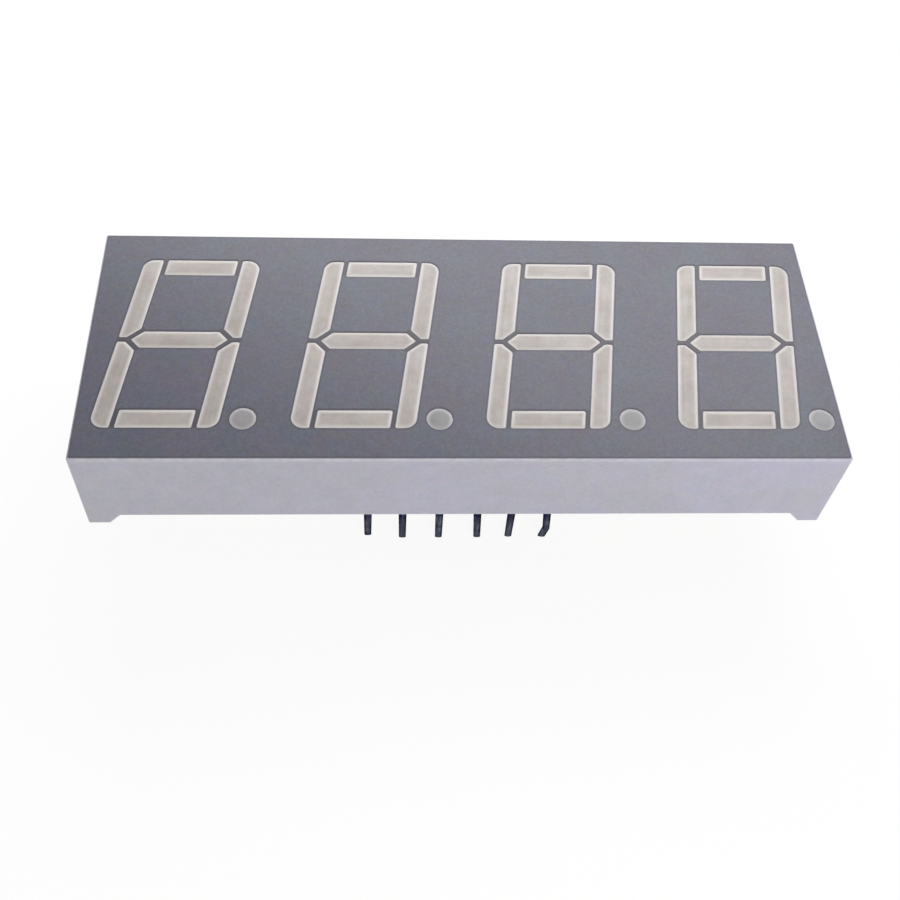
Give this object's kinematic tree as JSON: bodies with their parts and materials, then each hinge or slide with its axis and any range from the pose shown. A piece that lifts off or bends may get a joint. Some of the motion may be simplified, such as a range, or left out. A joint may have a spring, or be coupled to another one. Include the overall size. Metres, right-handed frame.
{
  "type": "seven segment display module",
  "caption": "Through-hole numeric display with slanted seven segment digits and decimal points in a grey face, a pale moulded housing on corner feet, and two rows of pins.",
  "frame": {"origin": "in the seating plane under the feet, at the middle of the pin pattern", "axes": "+X along the digits as they are read, +Y towards the tops of the digits, +Z out of the face"},
  "size_m": [0.0504, 0.019, 0.0136],
  "materials": {
    "housing": "satin moulded plastic, pale lavender grey",
    "face_print": "satin grey printed ink",
    "board": "glass fibre laminate",
    "copper": "bare copper",
    "solder": "bright tin solder",
    "potting": "cast epoxy, milky",
    "light_epoxy": "cast diffused epoxy, warm grey white",
    "die": "light emitting die",
    "bond_wire": "gold wire",
    "pin": "dull tinned steel"
  },
  "bodies": {
    "root": {"reflector_housing": "housing", "face_ink": "face_print", "circuit_board": "board", "copper_pads": "copper", "solder_joints": "solder", "back_potting": "potting", "digit_1_segment_a": "light_epoxy", "digit_1_segment_b": "light_epoxy", "digit_1_segment_c": "light_epoxy", "digit_1_segment_d": "light_epoxy", "digit_1_segment_e": "light_epoxy", "digit_1_segment_f": "light_epoxy", "digit_1_segment_g": "light_epoxy", "digit_1_point": "light_epoxy", "digit_2_segment_a": "light_epoxy", "digit_2_segment_b": "light_epoxy", "digit_2_segment_c": "light_epoxy", "digit_2_segment_d": "light_epoxy", "digit_2_segment_e": "light_epoxy", "digit_2_segment_f": "light_epoxy", "digit_2_segment_g": "light_epoxy", "digit_2_point": "light_epoxy", "digit_3_segment_a": "light_epoxy", "digit_3_segment_b": "light_epoxy", "digit_3_segment_c": "light_epoxy", "digit_3_segment_d": "light_epoxy", "digit_3_segment_e": "light_epoxy", "digit_3_segment_f": "light_epoxy", "digit_3_segment_g": "light_epoxy", "digit_3_point": "light_epoxy", "digit_4_segment_a": "light_epoxy", "digit_4_segment_b": "light_epoxy", "digit_4_segment_c": "light_epoxy", "digit_4_segment_d": "light_epoxy", "digit_4_segment_e": "light_epoxy", "digit_4_segment_f": "light_epoxy", "digit_4_segment_g": "light_epoxy", "digit_4_point": "light_epoxy", "digit_1_led_dies": "die", "digit_2_led_dies": "die", "digit_3_led_dies": "die", "digit_4_led_dies": "die", "digit_1_bond_wires": "bond_wire", "digit_2_bond_wires": "bond_wire", "digit_3_bond_wires": "bond_wire", "digit_4_bond_wires": "bond_wire", "pin_1": "pin", "pin_2": "pin", "pin_3": "pin", "pin_4": "pin", "pin_5": "pin", "pin_6": "pin", "pin_7": "pin", "pin_8": "pin", "pin_9": "pin", "pin_10": "pin", "pin_11": "pin", "pin_12": "pin"}
  },
  "joints": []
}
